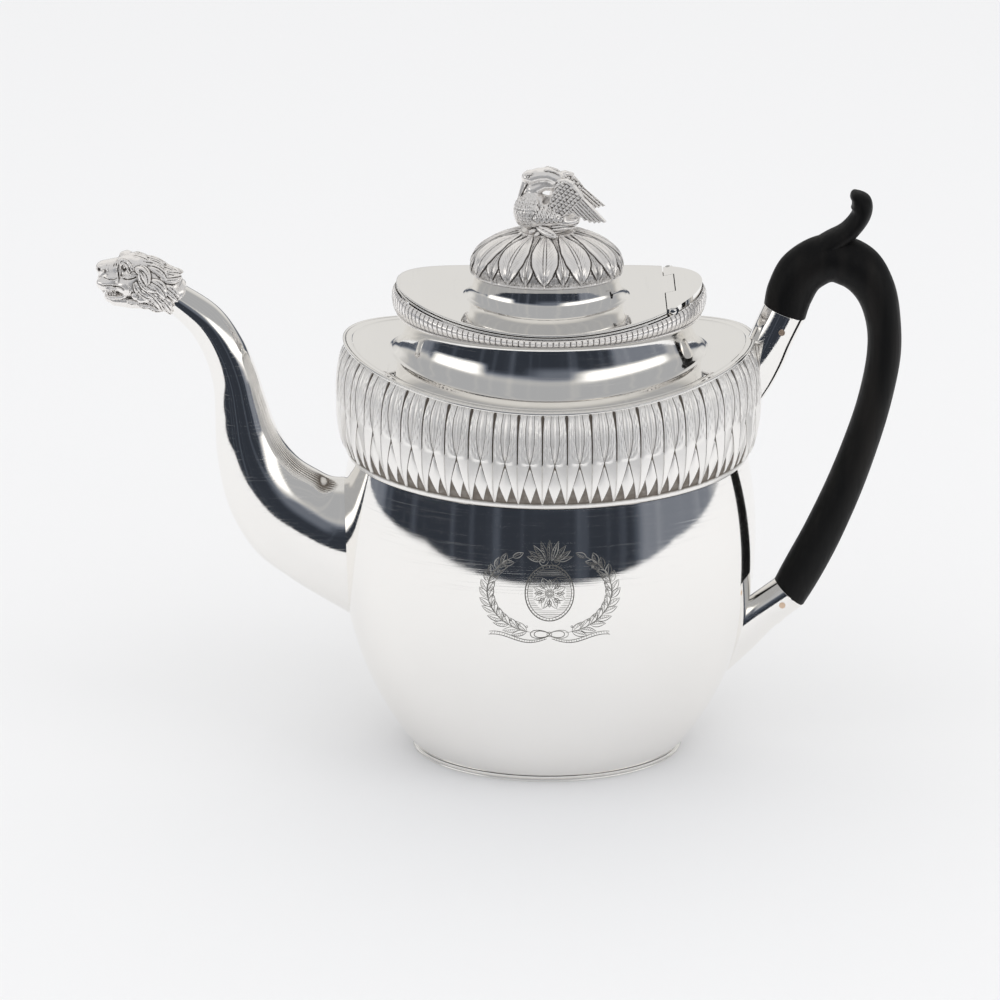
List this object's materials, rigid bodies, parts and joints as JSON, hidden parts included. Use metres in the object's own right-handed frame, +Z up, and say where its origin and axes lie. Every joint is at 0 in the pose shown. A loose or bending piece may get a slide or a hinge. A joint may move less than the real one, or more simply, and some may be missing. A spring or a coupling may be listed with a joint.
{
  "type": "coffee pot",
  "caption": "Oval silver coffee pot with a flush-hinged lid, leaf-chased band, lion-head spout, bird finial and black wood scroll handle.",
  "frame": {"origin": "centre of the foot rim, on the table", "axes": "+X to the handle, -X to the spout, +Z up; the side with the engraved panel faces -Y"},
  "size_m": [0.3072, 0.1144, 0.2388],
  "materials": {
    "polished_silver": "mirror polish with fine scratches",
    "chased_silver": "chased relief with dark tarnish in the recesses",
    "ebony": "black wood, satin, fine grain"
  },
  "bodies": {
    "pot": {"body_shell": "polished_silver", "base_plate": "polished_silver", "foot_rim": "polished_silver", "leaf_band": "chased_silver", "shoulder_flange": "polished_silver", "flange_wire": "polished_silver", "neck_gallery": "polished_silver", "gadroon_rim": "chased_silver", "mouth_rim": "polished_silver", "hinge_plate": "polished_silver", "hinge_knuckles": "polished_silver", "hinge_pin": "polished_silver", "spout": "polished_silver", "lion_mask": "chased_silver", "upper_socket": "polished_silver", "lower_socket": "polished_silver", "handle_grip": "ebony", "upper_socket_pin": "polished_silver", "lower_socket_pin": "polished_silver"},
    "lid": {"lid_plate": "polished_silver", "lid_knuckle": "polished_silver", "lid_bezel": "polished_silver", "lid_step": "polished_silver", "leaf_dome": "chased_silver", "bird_finial": "chased_silver", "finial_screw": "polished_silver", "finial_nut": "polished_silver"}
  },
  "joints": [
    {"name": "lid_hinge", "type": "hinge", "parent": "pot", "child": "lid", "pos_m": [0.0461, 0, 0.18947], "axis": [0, 1, 0], "range_deg": [0, 98]}
  ]
}
